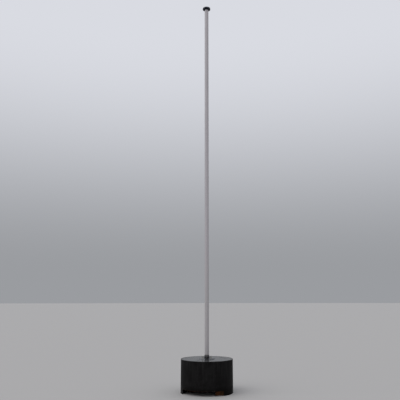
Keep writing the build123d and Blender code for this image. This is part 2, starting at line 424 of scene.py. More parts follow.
# %% Where the drum's paint chips
def near_drum_edges(finish, where):
    """How much more the paint chips near the rim, the lower edge, an opening and the weld."""
    strongest = fade(finish, where, "Z", shell_high - 9 * MM, shell_high - 1 * MM, 0.0, 0.15)
    lower_edge = fade(finish, where, "Z", 1 * MM, 9 * MM, 0.15, 0.0)
    turn_to_forks = {"Vector": where, "Rotation": (0.0, 0.0, fork_turn)}
    along_forks = add(finish, "Mapping", "Vector", turn_to_forks)
    inside, outside = half_opening - 2 * MM, half_opening + 4 * MM
    across = fade(finish, along_forks, "X", inside, outside, 1.0, 0.0, about=0.0)
    upwards = fade(finish, where, "Z", 2 * MM, 12 * MM, 0.15, 0.0, about=shell_low)
    opening = add(finish, "Math", "Value", {0: across, 1: upwards}, operation="MULTIPLY")
    turn_to_seam = {"Vector": where, "Rotation": (0.0, 0.0, -SEAM_ANGLE)}
    along_seam = add(finish, "Mapping", "Vector", turn_to_seam)
    beside = fade(finish, along_seam, "Y", 3 * MM, 10 * MM, 0.12, 0.0, about=0.0)
    this_side = fade(finish, along_seam, "X", 0.0, 100 * MM)
    seam = add(finish, "Math", "Value", {0: beside, 1: this_side}, operation="MULTIPLY")
    for other in (lower_edge, opening, seam):
        strongest = add(finish, "Math", "Value", {0: strongest, 1: other}, operation="MAXIMUM")
    return strongest


# %% Matt black paint of the drum
def matt_black_drum_paint():
    """Near-black paint with clouds, runs, mud, a darker foot, scuffs, scratches and rusty chips."""
    finish, where = start_finish("matt_black_painted_plate")
    clouds = patches(finish, where, 150 * MM, 0.35, 0.7, detail=4.0)
    faded = layer(finish, "#121111", "#1d1c1c", clouds)
    downwards = add(finish, "Mapping", "Vector", {"Vector": where, "Scale": (1.0, 1.0, 0.05)})
    from_rim = fade(finish, where, "Z", shell_low, shell_high, 0.1, 1.0)
    run_lines = patches(finish, downwards, 22 * MM, 0.5, 0.7)
    runs = add(finish, "Math", "Value", {0: run_lines, 1: from_rim}, operation="MULTIPLY")
    washed = layer(finish, faded, "#2a2929", runs, 0.7)
    splashes = fade(finish, where, "Z", 0.0, 110 * MM, 0.35, 0.0)
    drops = patches(finish, where, 6 * MM, 0.5, 0.6, detail=5.0)
    muddy = layer(finish, washed, "#342d24", splashes, drops)
    rubbed = {"Vector": where, "Rotation": (0.0, 0.0, 0.4), "Scale": (1.0, 1.0, 6.0)}
    rubbing = patches(finish, add(finish, "Mapping", "Vector", rubbed), 40 * MM, 0.62, 0.7, detail=8.0)
    scuffed = layer(finish, muddy, "#3a3a3a", rubbing, 0.5)
    # Darker and a little smoother towards the bottom
    darker_below = fade(finish, where, "Z", shell_low - 10 * MM, shell_low + 95 * MM, 0.9, 0.0)
    darkened = layer(finish, scuffed, "#070605", darker_below)
    slanting = {"Vector": where, "Rotation": (0.0, 0.0, 0.9), "Scale": (1.0, 1.0, 3.5)}
    lines = cell_borders(finish, add(finish, "Mapping", "Vector", slanting), 130 * MM, 0.003, 0.008)
    stretches = patches(finish, where, 45 * MM, 0.58, 0.63)
    scratched = layer(finish, darkened, "#4d4d4c", lines, stretches, 0.5)
    edges = near_drum_edges(finish, where)
    chips = patches(finish, where, 14 * MM, 0.67, 0.69, detail=6.0, rough=0.65, pull=edges)
    rust = layer(finish, "#3f2519", "#231711", patches(finish, where, 5 * MM, 0.35, 0.65, detail=4.0))
    either = {FACTOR: chips, COLOUR_A: scratched, COLOUR_B: rust}
    grain = add(finish, "TexNoise", "Fac", {"Vector": where, "Scale": 1 / (4 * MM), "Detail": 3.0})
    whole_paint = add(finish, "Math", "Value", {0: 1.0, 1: chips}, operation="SUBTRACT")
    weathered = add(finish, "Math", "Value", {0: runs, 1: clouds}, operation="MAXIMUM")
    matt = {"Value": weathered, "To Min": 0.55, "To Max": 0.75}
    rougher = add(finish, "MapRange", "Result", matt, interpolation_type="SMOOTHSTEP")
    smoother = add(finish, "Math", "Value", {0: darker_below, 1: -0.15, 2: rougher}, operation="MULTIPLY_ADD")
    rusty = add(finish, "Math", "Value", {0: chips, 1: 0.9}, operation="MULTIPLY")
    return end_finish(
        finish,
        add(finish, "Mix", MIXED, either, data_type="RGBA"),
        relief=[(grain, 0.15 * MM, 1.0), (whole_paint, 0.2 * MM, 1.0)],
        Roughness=add(finish, "Math", "Value", {0: smoother, 1: rusty}, operation="MAXIMUM"),
        Specular_IOR_Level=0.05,
    )


# %% [markdown]
# ## Floated concrete: the fill
#
# The top was struck off and worked with a steel float while it set. That leaves a close grey
# skin of cement with sand showing through, faint arcs from the float, pinholes, and a few hair
# cracks where the skin dried faster than the rest. Rain has just fallen, so a film of water
# covers most of it. Water shows in two ways at once: the concrete under it is darker, and the
# film above it is smooth and mirrors what stands on it.


# %% Floated wet concrete
def floated_concrete():
    """Grey cement skin with sand, pinholes and hair cracks, darker and glossy where water lies."""
    finish, where = start_finish("floated_concrete")
    cement = layer(finish, "#49494a", "#525252", patches(finish, where, 120 * MM, 0.3, 0.7, detail=6.0))
    grains = add(finish, "TexVoronoi", "Color", {"Vector": where, "Scale": 1 / (3 * MM)})
    grain_shade = add(finish, "SeparateColor", "Red", {"Color": grains})
    every_fourth = {"Value": grain_shade, "From Min": 0.75, "To Max": 0.5}
    dark_grains = add(finish, "MapRange", "Result", every_fourth, interpolation_type="SMOOTHSTEP")
    sandy = layer(finish, cement, "#3d3a37", dark_grains)
    holes = add(finish, "TexVoronoi", "Distance", {"Vector": where, "Scale": 1 / (14 * MM)})
    small = {"Value": holes, "From Min": 0.05, "From Max": 0.12, "To Min": 1.0, "To Max": 0.0}
    pinholes = add(finish, "MapRange", "Result", small, interpolation_type="SMOOTHSTEP")
    pitted = layer(finish, sandy, "#262524", pinholes)
    rim_dirt = fade_outwards(finish, where, drum_radius - 40 * MM, drum_radius - 5 * MM, 0.0, 0.5)
    dirty = layer(finish, pitted, "#33312d", rim_dirt)
    shaken = add(finish, "TexNoise", "Color", {"Vector": where, "Scale": 1 / (60 * MM), "Detail": 4.0})
    stray = {FACTOR: 0.05, COLOUR_A: where, COLOUR_B: shaken}
    strayed = add(finish, "Mix", MIXED, stray, data_type="RGBA")
    hairlines = cell_borders(finish, strayed, 330 * MM, 0.001, 0.004)
    opened = patches(finish, where, 200 * MM, 0.45, 0.6)
    cracked = layer(finish, dirty, "#232221", hairlines, opened, 0.7)
    water = patches(finish, where, 180 * MM, 0.3, 0.42, detail=5.0, rough=0.45)
    arcs = add(
        finish,
        "TexWave",
        "Fac",
        {
            "Vector": add(finish, "Mapping", "Vector", {"Vector": where, "Location": (0.31, 0.17, 0.0)}),
            "Scale": 14.0,
            "Distortion": 5.0,
            "Detail": 3.0,
            "Detail Scale": 1.5,
        },
        wave_type="RINGS",
        rings_direction="Z",
    )
    sand = add(finish, "TexNoise", "Fac", {"Vector": where, "Scale": 1 / (2.5 * MM), "Detail": 4.0})
    dry = add(finish, "Math", "Value", {0: 1.0, 1: water}, operation="SUBTRACT")
    half_dry = add(finish, "Math", "Value", {0: dry, 1: 0.8}, operation="MULTIPLY")
    return end_finish(
        finish,
        layer(finish, cracked, "#383839", water, 0.5),
        varied={"Roughness": (water, 0.5, 0.1)},
        relief=[(arcs, 0.25 * MM, half_dry), (sand, 0.35 * MM, dry)],
        Specular_IOR_Level=0.08,
    )


# %% [markdown]
# ## Sawn softwood: the bearers
#
# A sawn beam shows its growth rings twice: as arcs on its ends and as long lines on its faces.
# Both come from one pattern in space, rings about a pith line that runs along the beam, so
# they meet at the edges as they do in real wood. The coordinates are turned to the beam and
# squeezed along it. Rain has soaked the wood, which deepens it to a dark brown. The side next
# to the drum's foot is laid darker, partly splashed dirt and partly painted shade.


# %% Wet sawn softwood
def sawn_softwood(name, beam_turn, pith, dirty_shaded_side):
    """Rough-sawn wet softwood with rings about the pith, and dirt with painted shade on one side."""
    finish, where = start_finish(name)
    about_pith = {"Vector": where, "Rotation": (0.0, 0.0, beam_turn), "Location": -pith}
    from_pith = add(finish, "Mapping", "Vector", about_pith)
    along = add(finish, "Mapping", "Vector", {"Vector": from_pith, "Scale": (1.0, 0.04, 1.0)})
    ring_spacing = 5 * MM
    # A ring texture repeats every 0.314 / scale
    growth = add(
        finish,
        "TexWave",
        "Fac",
        {
            "Vector": along,
            "Scale": 0.314 / ring_spacing,
            "Distortion": 2.5,
            "Detail": 3.0,
            "Detail Scale": 0.6,
            "Detail Roughness": 0.6,
        },
        wave_type="RINGS",
        rings_direction="Y",
        wave_profile="SAW",
    )
    soaking = patches(finish, where, 60 * MM, 0.35, 0.7, detail=5.0)
    soaked = layer(finish, layer(finish, "#865232", "#532f1b", growth), "#422a1a", soaking)
    # Dirt with painted shade: one side of the beam is laid darker
    dirt_and_shade_pull = fade(finish, from_pith, "X", -70 * MM * dirty_shaded_side, 0.0, 0.0, 0.3)
    dirt = patches(finish, where, 25 * MM, 0.55, 0.75, detail=5.0, pull=dirt_and_shade_pull)
    fibres = patches(finish, along, 2.5 * MM, 0.3, 0.8, detail=5.0)
    return end_finish(
        finish,
        layer(finish, soaked, "#292619", dirt, 0.75),
        varied={"Roughness": (soaking, 0.75, 0.45)},
        relief=[(growth, 0.25 * MM, 1.0), (fibres, 0.5 * MM, 1.0)],
        Specular_IOR_Level=0.08,
    )


# %% [markdown]
# ## One finish for each slot
#
# The record names a slot for every kind of surface. Making the finishes once and keeping them
# under the slots' names lets a CAD node and a new piece of the same stuff share one. The two
# timbers are missing here, because each has its own pith and gets its finish with its shape.

# %% Make the finishes
finishes = {
    "mast_paint": powder_coated_aluminium(),
    "cap_moulding": moulded_nylon("black_moulded_nylon", "#161f2e", "#4c4f50"),
    "bush_moulding": moulded_nylon("grey_moulded_nylon", "#58595b", "#70706e"),
    "socket_paint": painted_socket_steel(),
    "galvanised_steel": galvanised_steel(),
    "zinc_fasteners": zinc_plated_steel(),
    "drum_paint": matt_black_drum_paint(),
    "concrete": floated_concrete(),
}
print("slots with a finish:", ", ".join(finishes))

# %% [markdown]
# ## Dress the CAD nodes
#
# A CAD node whose shape is already right keeps its mesh and only gets the finish of its slot.
# The nodes that are modelled again further down are hidden then, but they are dressed as well,
# so that none is ever left with the plain material of the frame.


# %% Dress every CAD node by its slot
def dress(node, finish):
    """Give a CAD node this finish alone."""
    materials = bpy.data.objects[node].data.materials
    materials.clear()
    materials.append(finish)


dressed = [part for part in frame["record"]["subparts"] if part["material_slot"] in finishes]
for part in dressed:
    dress(part["node"], finishes[part["material_slot"]])
print("dressed", len(dressed), "CAD nodes")

# %% [markdown]
# ## From a bmesh to a piece
#
# Every new piece ends in the same way: doubles are merged, normals are worked out again,
# because spin and mirror can turn a shape inside out, and edges sharper than 35 degrees stay
# crisp while the rest is shaded smooth. The object stays at the origin and rides on the CAD
# body, and the CAD node it stands for is hidden.


# %% Turn a bmesh into a piece of the flagpole
MERGE_DISTANCE = 0.005 * MM
SHARP_ANGLE = math.radians(35)


def piece(name, shape, slot, stands_for=None):
    """Write the bmesh to an object, dress it and tie it to the CAD body."""
    bmesh.ops.remove_doubles(shape, verts=shape.verts, dist=MERGE_DISTANCE)
    bmesh.ops.recalc_face_normals(shape, faces=shape.faces)
    mesh = bpy.data.meshes.new(name)
    shape.to_mesh(mesh)
    shape.free()
    mesh.shade_smooth()
    mesh.set_sharp_from_angle(angle=SHARP_ANGLE)
    made = bpy.data.objects.new(name, mesh)
    bpy.context.scene.collection.objects.link(made)
    made.data.materials.append(finishes[slot])
    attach(made, "root")
    if stands_for:
        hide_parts(stands_for)
    mesh.calc_loop_triangles()
    print(name, "has", len(mesh.loop_triangles), "triangles")
    return made


# %% [markdown]
# A round part is turned, as on a lathe: its half section is drawn as a few (radius, height)
# points, and the spin operator carries them round the axis. A full turn needs `use_merge`,
# which closes its seam. A part turn leaves two open ends, and those are filled. Two lengths
# that differ by less than `TOUCH` are taken as equal.


# %% Turn a half section about the Z axis
TOUCH = 0.001 * MM
FULL_TURN = 2 * math.pi


def turned(section, steps, start=0.0, end=FULL_TURN):
    """A bmesh of the half section spun about Z from the start angle to the end angle."""
    shape = bmesh.new()
    corners = [shape.verts.new((radius, 0.0, height)) for radius, height in section]
    for first, second in zip(corners, corners[1:] + corners[:1]):
        shape.edges.new((first, second))
    bmesh.ops.rotate(shape, verts=shape.verts, matrix=Matrix.Rotation(start, 3, "Z"))
    full = end - start == FULL_TURN
    bmesh.ops.spin(
        shape,
        geom=shape.verts[:] + shape.edges[:],
        cent=(0, 0, 0),
        axis=(0, 0, 1),
        dvec=(0, 0, 0),
        angle=end - start,
        steps=steps,
        use_merge=full,
    )
    if not full:
        bmesh.ops.holes_fill(shape, edges=open_edges(shape))
    return shape


def level_edges(shape, keep):
    """The edges that run level round the axis and whose first vertex passes the test."""
    level = [edge for edge in shape.edges if abs(edge.verts[0].co.z - edge.verts[1].co.z) < TOUCH]
    around = [e for e in level if abs(e.verts[0].co.xy.length - e.verts[1].co.xy.length) < TOUCH]
    return [edge for edge in around if keep(edge.verts[0].co)]


def round_off(shape, edges, size, segments=2):
    """Round these edges."""
    bmesh.ops.bevel(
        shape, geom=edges, offset=size, segments=segments, profile=0.5, affect="EDGES", material=-1
    )


def cut_up(shape, edges, cuts):
    """Cut these edges into cuts + 1 stretches, with the faces between them."""
    bmesh.ops.subdivide_edges(shape, edges=edges, cuts=cuts, use_grid_fill=True)


def open_edges(shape):
    """The edges with a face on one side only."""
    return [edge for edge in shape.edges if edge.is_boundary]


# %% [markdown]
# ## The rolled shell and its feet
#
# The real shell is a 4 mm plate rolled to a ring and welded up. It could be left as a perfect
# cylinder, but a rolled plate never is one: it wanders by a millimetre between the rolls and
# has a few shallow dents where forks have knocked it. So the ring is turned, its wall is cut
# into small faces, and every vertex is pushed in by a slow noise. It is never pushed out,
# because the CAD solid is the true outer size. The shell and its feet are the same plate, so
# the same function shapes all three and they stay in line.

# %% Let the plate wander
PLATE_WANDER = 1.2 * MM
WANDER_GRAIN = 190 * MM
plate_bore = fill_radius
# Each dent: angle, height, reach and depth
dents = (
    (math.radians(-118), shell_low + 40 * MM, 55 * MM, 1.9 * MM),
    (math.radians(-52), shell_low + 25 * MM, 38 * MM, 1.7 * MM),
    (math.radians(88), shell_low + 60 * MM, 60 * MM, 2.0 * MM),
    (math.radians(171), shell_low + 210 * MM, 45 * MM, 1.5 * MM),
)


def sunk(angle, height):
    """How far the plate lies inside its true radius at this place."""
    place = Vector((math.cos(angle) * drum_radius, math.sin(angle) * drum_radius, height))
    depth = PLATE_WANDER * (0.5 + 0.5 * noise.noise(place / WANDER_GRAIN))
    for dent_angle, dent_height, reach, dent_depth in dents:
        away = math.remainder(angle - dent_angle, FULL_TURN) * drum_radius
        depth += dent_depth * math.exp(-(away ** 2 + (height - dent_height) ** 2) / reach ** 2)
    return depth


def let_wander(shape):
    """Push every vertex towards the axis as the rolled plate wanders."""
    for vertex in shape.verts:
        angle = math.atan2(vertex.co.y, vertex.co.x)
        outwards = Vector((math.cos(angle), math.sin(angle), 0))
        vertex.co -= outwards * sunk(angle, vertex.co.z)


# %% Roll the shell
EDGE_ROUND = 0.8 * MM
SHELL_STEPS = 288
SHELL_ROWS = 41


def plate_section(low, high):
    """The rolled plate's section between two levels."""
    return [(plate_bore, low), (drum_radius, low), (drum_radius, high), (plate_bore, high)]


shell = turned(plate_section(shell_low, shell_high), SHELL_STEPS)
round_off(shell, level_edges(shell, lambda co: co.z > shell_high - TOUCH), EDGE_ROUND)
tall = [edge for edge in shell.edges if edge.calc_length() > (shell_high - shell_low) / 2]
cut_up(shell, tall, SHELL_ROWS - 1)
let_wander(shell)
piece("drum_shell_rolled", shell, "drum_paint", "drum_shell")

# %% [markdown]
# Each foot goes on down from the shell to the floor, and it was cut straight across at both
# ends to leave the fork openings. So an arc a little too long is turned, and a flat plane
# trims it where the opening begins.

# %% Cut the two feet
OVERLONG = math.radians(4)
FOOT_STEPS = 72
FOOT_ROWS = 10
half_arc = (foot_ends[1] - foot_ends[0]) / 2 + OVERLONG
for side, middle_angle in (("right", -fork_turn), ("left", math.pi - fork_turn)):
    start, end = middle_angle - half_arc, middle_angle + half_arc
    foot = turned(plate_section(0, shell_low), FOOT_STEPS, start, end)
    outwards = Vector((math.cos(middle_angle), math.sin(middle_angle), 0))
    bmesh.ops.bisect_plane(
        foot,
        geom=foot.verts[:] + foot.edges[:] + foot.faces[:],
        plane_co=outwards * half_opening,
        plane_no=-outwards,
        clear_outer=True,
    )
    bmesh.ops.holes_fill(foot, edges=open_edges(foot))
    upright = [edge for edge in foot.edges if edge.calc_length() > shell_low - TOUCH]
    cut_up(foot, upright, FOOT_ROWS - 1)
    let_wander(foot)
    piece(f"drum_foot_{side}_cut", foot, "drum_paint", f"drum_foot_{side}")

# %% [markdown]
# ## Weld beads
#
# A weld is laid as a row of overlapping ripples, each where the torch paused. A bead is
# therefore a thin rounded section carried along its joint, with its size pulsing once for
# each ripple. `ring_bead` spins the section and then scales it ripple by ripple.


# %% Lay a bead round the mast's axis
BEAD_SECTION = [(0.0, 0.0), (1.0, 0.0), (0.86, 0.34), (0.62, 0.62), (0.34, 0.86), (0.0, 1.0)]
STEPS_PER_RIPPLE = 5
RIPPLE_DEPTH = 0.1
UNSTEADINESS = 0.08


def ring_bead(radius, height, leg, ripple):
    """A fillet bead outside and above the corner at this radius and height."""
    points = [(radius + leg * across, height + leg * up) for across, up in BEAD_SECTION]
    ripples = round(FULL_TURN * radius / ripple)
    bead = turned(points, ripples * STEPS_PER_RIPPLE)
    for vertex in bead.verts:
        angle = math.atan2(vertex.co.y, vertex.co.x)
        pulse = (angle / FULL_TURN * ripples) % 1.0
        unsteady = noise.noise(Vector((math.cos(angle), math.sin(angle), 0)) * 5)
        size = 1 - RIPPLE_DEPTH * (1 - math.sqrt(1 - pulse)) - UNSTEADINESS * unsteady
        reach = vertex.co.xy.length - radius
        vertex.co.xy *= (radius + reach * size) / vertex.co.xy.length
        vertex.co.z = height + (vertex.co.z - height) * size
    return bead


# %% Weld the socket to its flange
SOCKET_LEG = 5 * MM
SOCKET_RIPPLE = 2.6 * MM
socket_weld = ring_bead(socket_radius, flange_high, SOCKET_LEG, SOCKET_RIPPLE)
piece("socket_weld", socket_weld, "socket_paint")

# %% [markdown]
# The floor plate sits inside the shell's lower edge. Its bead lies in the corner below the
# plate, where a torch can reach it between the feet.

# %% Weld the floor into the shell
FLOOR_LEG = 5 * MM
FLOOR_RIPPLES = 260
FLOOR_RIPPLE_DEPTH = 0.5 * MM
ROOT_GAP = 0.2 * MM
floor_weld = turned(
    [
        (plate_bore - FLOOR_LEG, shell_low),
        (plate_bore, shell_low),
        (plate_bore - 0.4 * MM, shell_low - 2.2 * MM),
        (plate_bore - 2.4 * MM, shell_low - 2.6 * MM),
    ],
    steps=720,
)
for vertex in floor_weld.verts:
    angle = math.atan2(vertex.co.y, vertex.co.x)
    vertex.co.xy *= 1 - (sunk(angle, shell_low) + ROOT_GAP) / drum_radius
    if vertex.co.z < shell_low - TOUCH:
        vertex.co.z += FLOOR_RIPPLE_DEPTH * (0.5 + 0.5 * math.sin(angle * FLOOR_RIPPLES))
piece("floor_weld", floor_weld, "drum_paint")

# %% [markdown]
# The ring closes in one upright butt weld. It is at the back left, away from the photographed
# side, and it was not filed flat. Here a narrow grid is laid on the plate, three rows to a
# ripple. Every row follows the plate behind it, and its crown never stands out beyond the
# plate's true radius. The grid gets its thickness last.

# %% Close the shell with its upright seam
SEAM_WIDTH = 9 * MM
SEAM_RISE = 1.3 * MM
SEAM_SUNK = 0.1 * MM
SEAM_RIPPLE = 3 * MM
SEAM_RIPPLE_DEPTH = 0.25
SEAM_THICKNESS = 1.5 * MM
SEAM_MARGIN = 1 * MM
SEAM_COLUMNS = 6
ROWS_PER_RIPPLE = 3
seam_length = shell_high - shell_low - 2 * SEAM_MARGIN
seam_ripples = round(seam_length / SEAM_RIPPLE)
seam_rows = seam_ripples * ROWS_PER_RIPPLE
seam = bmesh.new()
bmesh.ops.create_grid(seam, x_segments=SEAM_COLUMNS, y_segments=seam_rows, size=0.5)
for vertex in seam.verts:
    across, along = vertex.co.x, vertex.co.y + 0.5
    height = shell_low + SEAM_MARGIN + along * seam_length
    pulse = (along * seam_ripples + across * across) % 1.0
    crown = (1 - (2 * across) ** 2) * (1 - SEAM_RIPPLE_DEPTH * (1 - pulse))
    angle = SEAM_ANGLE + across * SEAM_WIDTH / drum_radius
    depth = sunk(angle, height)
    radius = drum_radius - depth + min(SEAM_RISE * crown - SEAM_SUNK, depth)
    vertex.co = Vector((radius * math.cos(angle), radius * math.sin(angle), height))
bmesh.ops.recalc_face_normals(seam, faces=seam.faces)
bmesh.ops.solidify(seam, geom=seam.faces[:], thickness=SEAM_THICKNESS)
piece("shell_seam", seam, "drum_paint")

# %% [markdown]
# ## The floated fill
#
# The concrete is turned as a closed solid with its pocket for the socket. Its top is flat, and
# it falls by 4 mm over its last 25 mm to the shell. The ring between the flange and the shell
# is cut fine enough to carry what the float left: slow rises and hollows, and a ragged little
# fillet where the cement crept up the steel.

# %% Cast the fill
EDGE_DROP = 2 * MM
EDGE_FALL_WIDTH = 25 * MM
EDGE_CUTS = 9
FLAT_CUTS = 48
POCKET_PLAY = 3 * MM
UNDER_FLANGE = 6 * MM
pocket_radius = socket_radius + POCKET_PLAY
fill_edge = shell_high - EDGE_DROP
inner_flat = flange_radius - UNDER_FLANGE
fill = turned(
    [
        (0.0, fill_low),
        (fill_radius, fill_low),
        (fill_radius, fill_edge),
        (fill_radius - EDGE_FALL_WIDTH, fill_high),
        (inner_flat, fill_high),
        (pocket_radius, fill_high),
        (pocket_radius, socket_low - POCKET_PLAY),
        (0.0, socket_low - POCKET_PLAY),
    ],
    steps=360,
)
flat_width = fill_radius - EDGE_FALL_WIDTH - inner_flat
for width, cuts in ((EDGE_FALL_WIDTH, EDGE_CUTS), (flat_width, FLAT_CUTS)):
    across = [
        edge
        for edge in fill.edges
        if min(vertex.co.z for vertex in edge.verts) > fill_edge - 1 * MM
        and abs(abs(edge.verts[0].co.xy.length - edge.verts[1].co.xy.length) - width) < 1 * MM
    ]
    cut_up(fill, across, cuts)
print("the fill is cast with", len(fill.faces), "faces")

# %% [markdown]
# The flange was bolted down on a bed that is truly flat, so the float's waves only begin at its
# edge and reach their full height 40 mm further out.

# %% Float the top of the fill
FLAT_BED = 40 * MM
SLOW_WAVE, SLOW_GRAIN = 1.3 * MM, 150 * MM
SHORT_WAVE, SHORT_GRAIN = 0.35 * MM, 28 * MM
WAVES_LOWERED = 0.6 * MM
RIM_CREEP = 1.4 * MM
CREEP_WIDTH = 3 * MM
CREEP_GRAIN = 12 * MM
for vertex in fill.verts:
    reach = vertex.co.xy.length
    if vertex.co.z < fill_edge - 1 * MM or reach < flange_radius + 1 * MM:
        continue
    held = min(1.0, (reach - flange_radius) / FLAT_BED)
    wave = SLOW_WAVE * noise.noise(vertex.co / SLOW_GRAIN)
    wave += SHORT_WAVE * noise.noise(vertex.co / SHORT_GRAIN)
    creep = math.exp(-(fill_radius - reach) / CREEP_WIDTH) * RIM_CREEP
    ragged = 0.6 + 0.4 * noise.noise(vertex.co / CREEP_GRAIN)
    vertex.co.z += held * (wave - WAVES_LOWERED) + creep * ragged
piece("fill_floated", fill, "concrete", "concrete_fill")

# %% [markdown]
# ## Anchors
#
# Each anchor is a threaded rod set in resin, with a washer and a hexagon nut. A nut could be a
# six-sided cylinder, but the real one has its corners turned off at 30 degrees, which leaves
# six curved lines that catch the light. So a loop of 72 edges is grown upwards, each vertex
# on the hexagon, and the vertices further out than the flats are lowered at that angle.


# %% Grow a loop of edges from outline to outline
def grow(shape, loop, place):
    """Extrude the loop and send each new vertex where `place` says; give back the new loop."""
    grown = bmesh.ops.extrude_edge_only(shape, edges=loop)["geom"]
    for vertex in [item for item in grown if isinstance(item, bmesh.types.BMVert)]:
        vertex.co = place(math.atan2(vertex.co.y, vertex.co.x))
    edges = [item for item in grown if isinstance(item, bmesh.types.BMEdge)]
    return [edge for edge in edges if all(vertex in grown for vertex in edge.verts)]


def at(radius, height):
    """A place function for a circle."""
    return lambda angle: Vector((radius * math.cos(angle), radius * math.sin(angle), height))


def on_hexagon(flats, height, slope=0.0):
    """A place function for a hexagon, whose corners fall away by `slope` for each metre."""

    def place(angle):
        turn = (angle + math.pi / 6) % (math.pi / 3) - math.pi / 6
        radius = flats / 2 / math.cos(turn)
        fallen = slope * (radius - flats / 2)
        return Vector((radius * math.cos(angle), radius * math.sin(angle), height - fallen))

    return place


HEXAGON_STEPS = 72
# The flat ring on a nut's face and the mouth of its bore, as shares of flats and bore
FACE_RING = 0.97
BORE_MOUTH = 1.06
MOUTH_DEPTH = 0.5 * MM


def hexagon_nut(bore, flats, low, high):
    """A nut with both its faces chamfered at 30 degrees."""
    nut = bmesh.new()
    bmesh.ops.create_circle(nut, cap_ends=False, segments=HEXAGON_STEPS, radius=bore)
    bmesh.ops.translate(nut, verts=nut.verts, vec=(0, 0, low))
    loop = nut.edges[:]
    fall = math.tan(math.radians(30))
    for place in (
        at(flats / 2 * FACE_RING, low),
        on_hexagon(flats, low, -fall),
        on_hexagon(flats, high, fall),
        at(flats / 2 * FACE_RING, high),
        at(bore * BORE_MOUTH, high),
        at(bore, high - MOUTH_DEPTH),
        at(bore, low),
    ):
        loop = grow(nut, loop, place)
    return nut


# %% [markdown]
# The thread is a ridge wound on a core. `spin` takes a step along the axis for every step
# round it, which makes a helix, and the ridge's own section is a trapezium with the pitch and
# depth of a metric thread. Near the tip its crest is cut down to the rod's chamfer.


# %% Wind a thread
# A metric thread's depth and the half widths of its crest and root, in pitches
THREAD_DEPTH = 0.61
HALF_CREST = 0.07
HALF_ROOT = 0.44
STEPS_PER_TURN = 28
OVERLAP = 0.1 * MM


def wound_ridge(radius, pitch, low, tip, tip_chamfer):
    """The ridge of a metric thread from `low` up to a chamfered tip."""
    root = radius - THREAD_DEPTH * pitch - OVERLAP
    turns = (tip - low) / pitch - 1
    ridge = bmesh.new()
    section = [(root, -HALF_ROOT), (radius, -HALF_CREST), (radius, HALF_CREST), (root, HALF_ROOT)]
    corners = [ridge.verts.new((across, 0, low + (0.5 + along) * pitch)) for across, along in section]
    for first, second in zip(corners, corners[1:] + corners[:1]):
        ridge.edges.new((first, second))
    bmesh.ops.spin(
        ridge,
        geom=ridge.verts[:] + ridge.edges[:],
        cent=(0, 0, 0),
        axis=(0, 0, 1),
        dvec=(0, 0, pitch / STEPS_PER_TURN),
        angle=FULL_TURN * turns,
        steps=round(STEPS_PER_TURN * turns),
        use_merge=False,
    )
    bmesh.ops.holes_fill(ridge, edges=open_edges(ridge))
    for vertex in ridge.verts:
        allowed = radius - tip_chamfer + (tip - vertex.co.z)
        if vertex.co.xy.length > allowed:
            vertex.co.xy *= max(root, allowed) / vertex.co.xy.length
    return ridge


def joined(*shapes):
    """Several shapes as one."""
    whole = bmesh.new()
    for shape in shapes:
        carrier = bpy.data.meshes.new("carrier")
        shape.to_mesh(carrier)
        shape.free()
        whole.from_mesh(carrier)
        bpy.data.meshes.remove(carrier)
    return whole


# %% Turn a washer and a rod
ROD_RADIUS = 8 * MM
ROD_PITCH = 2 * MM
ROD_CHAMFER = 1.5 * MM
CORE_TAPER = 0.4 * MM
WASHER_RADIUS = 15 * MM
WASHER_BORE = ROD_RADIUS + 0.4 * MM
WASHER_THICKNESS = 3 * MM
WASHER_ROUND = 0.4 * MM
seat = flange_high + WASHER_THICKNESS


def flat_washer():
    """A washer on the flange, rounded at its outer edges as a punch leaves them."""
    washer = turned(
        [
            (WASHER_BORE, flange_high),
            (WASHER_RADIUS, flange_high),
            (WASHER_RADIUS, seat),
            (WASHER_BORE, seat),
        ],
        steps=64,
    )
    rims = level_edges(washer, lambda co: co.xy.length > WASHER_RADIUS - TOUCH)
    round_off(washer, rims, WASHER_ROUND)
    return washer


def rod_core(low, high):
    """The rod, full up to the nut and as thin as the thread's root from there to its tip."""
    core = ROD_RADIUS - THREAD_DEPTH * ROD_PITCH
    return turned(
        [
            (0, low),
            (ROD_RADIUS, low),
            (ROD_RADIUS, seat),
            (core, seat),
            (core, high - ROD_CHAMFER),
            (core - CORE_TAPER, high),
            (0, high),
        ],
        steps=48,
    )


# %% Set the four anchors
NUT_FLATS = 24 * MM
NUT_HEIGHT = 13 * MM
THREAD_IN_NUT = 4 * MM
# No two nuts were left at the same angle
NUT_TURNS = (8, 31, 52, 17)
nut_top = seat + NUT_HEIGHT
for number, turn in enumerate(NUT_TURNS, start=1):
    low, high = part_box(f"anchor_bolt_{number}")
    middle = (low + high) / 2
    nut = hexagon_nut(ROD_RADIUS, NUT_FLATS, seat, nut_top)
    ridge = wound_ridge(ROD_RADIUS, ROD_PITCH, nut_top - THREAD_IN_NUT, high.z, ROD_CHAMFER)
    anchor = joined(flat_washer(), nut, ridge, rod_core(low.z, high.z))
    left_at = Matrix.Rotation(math.radians(turn), 3, "Z")
    bmesh.ops.rotate(anchor, verts=anchor.verts, matrix=left_at)
    bmesh.ops.translate(anchor, verts=anchor.verts, vec=(middle.x, middle.y, 0))
    piece(f"anchor_{number}", anchor, "zinc_fasteners", f"anchor_bolt_{number}")

# %% [markdown]
# ## Clamp screws and the welds of their bosses
#
# Three M12 grub screws press on the mast through bosses on the socket. Only the last turns of
# the thread and the hexagon recess for the key are seen. Each is made upright about Z, as
# above, but already as far out as it is from the mast's axis. One matrix then lays it down
# and lifts it to its boss.

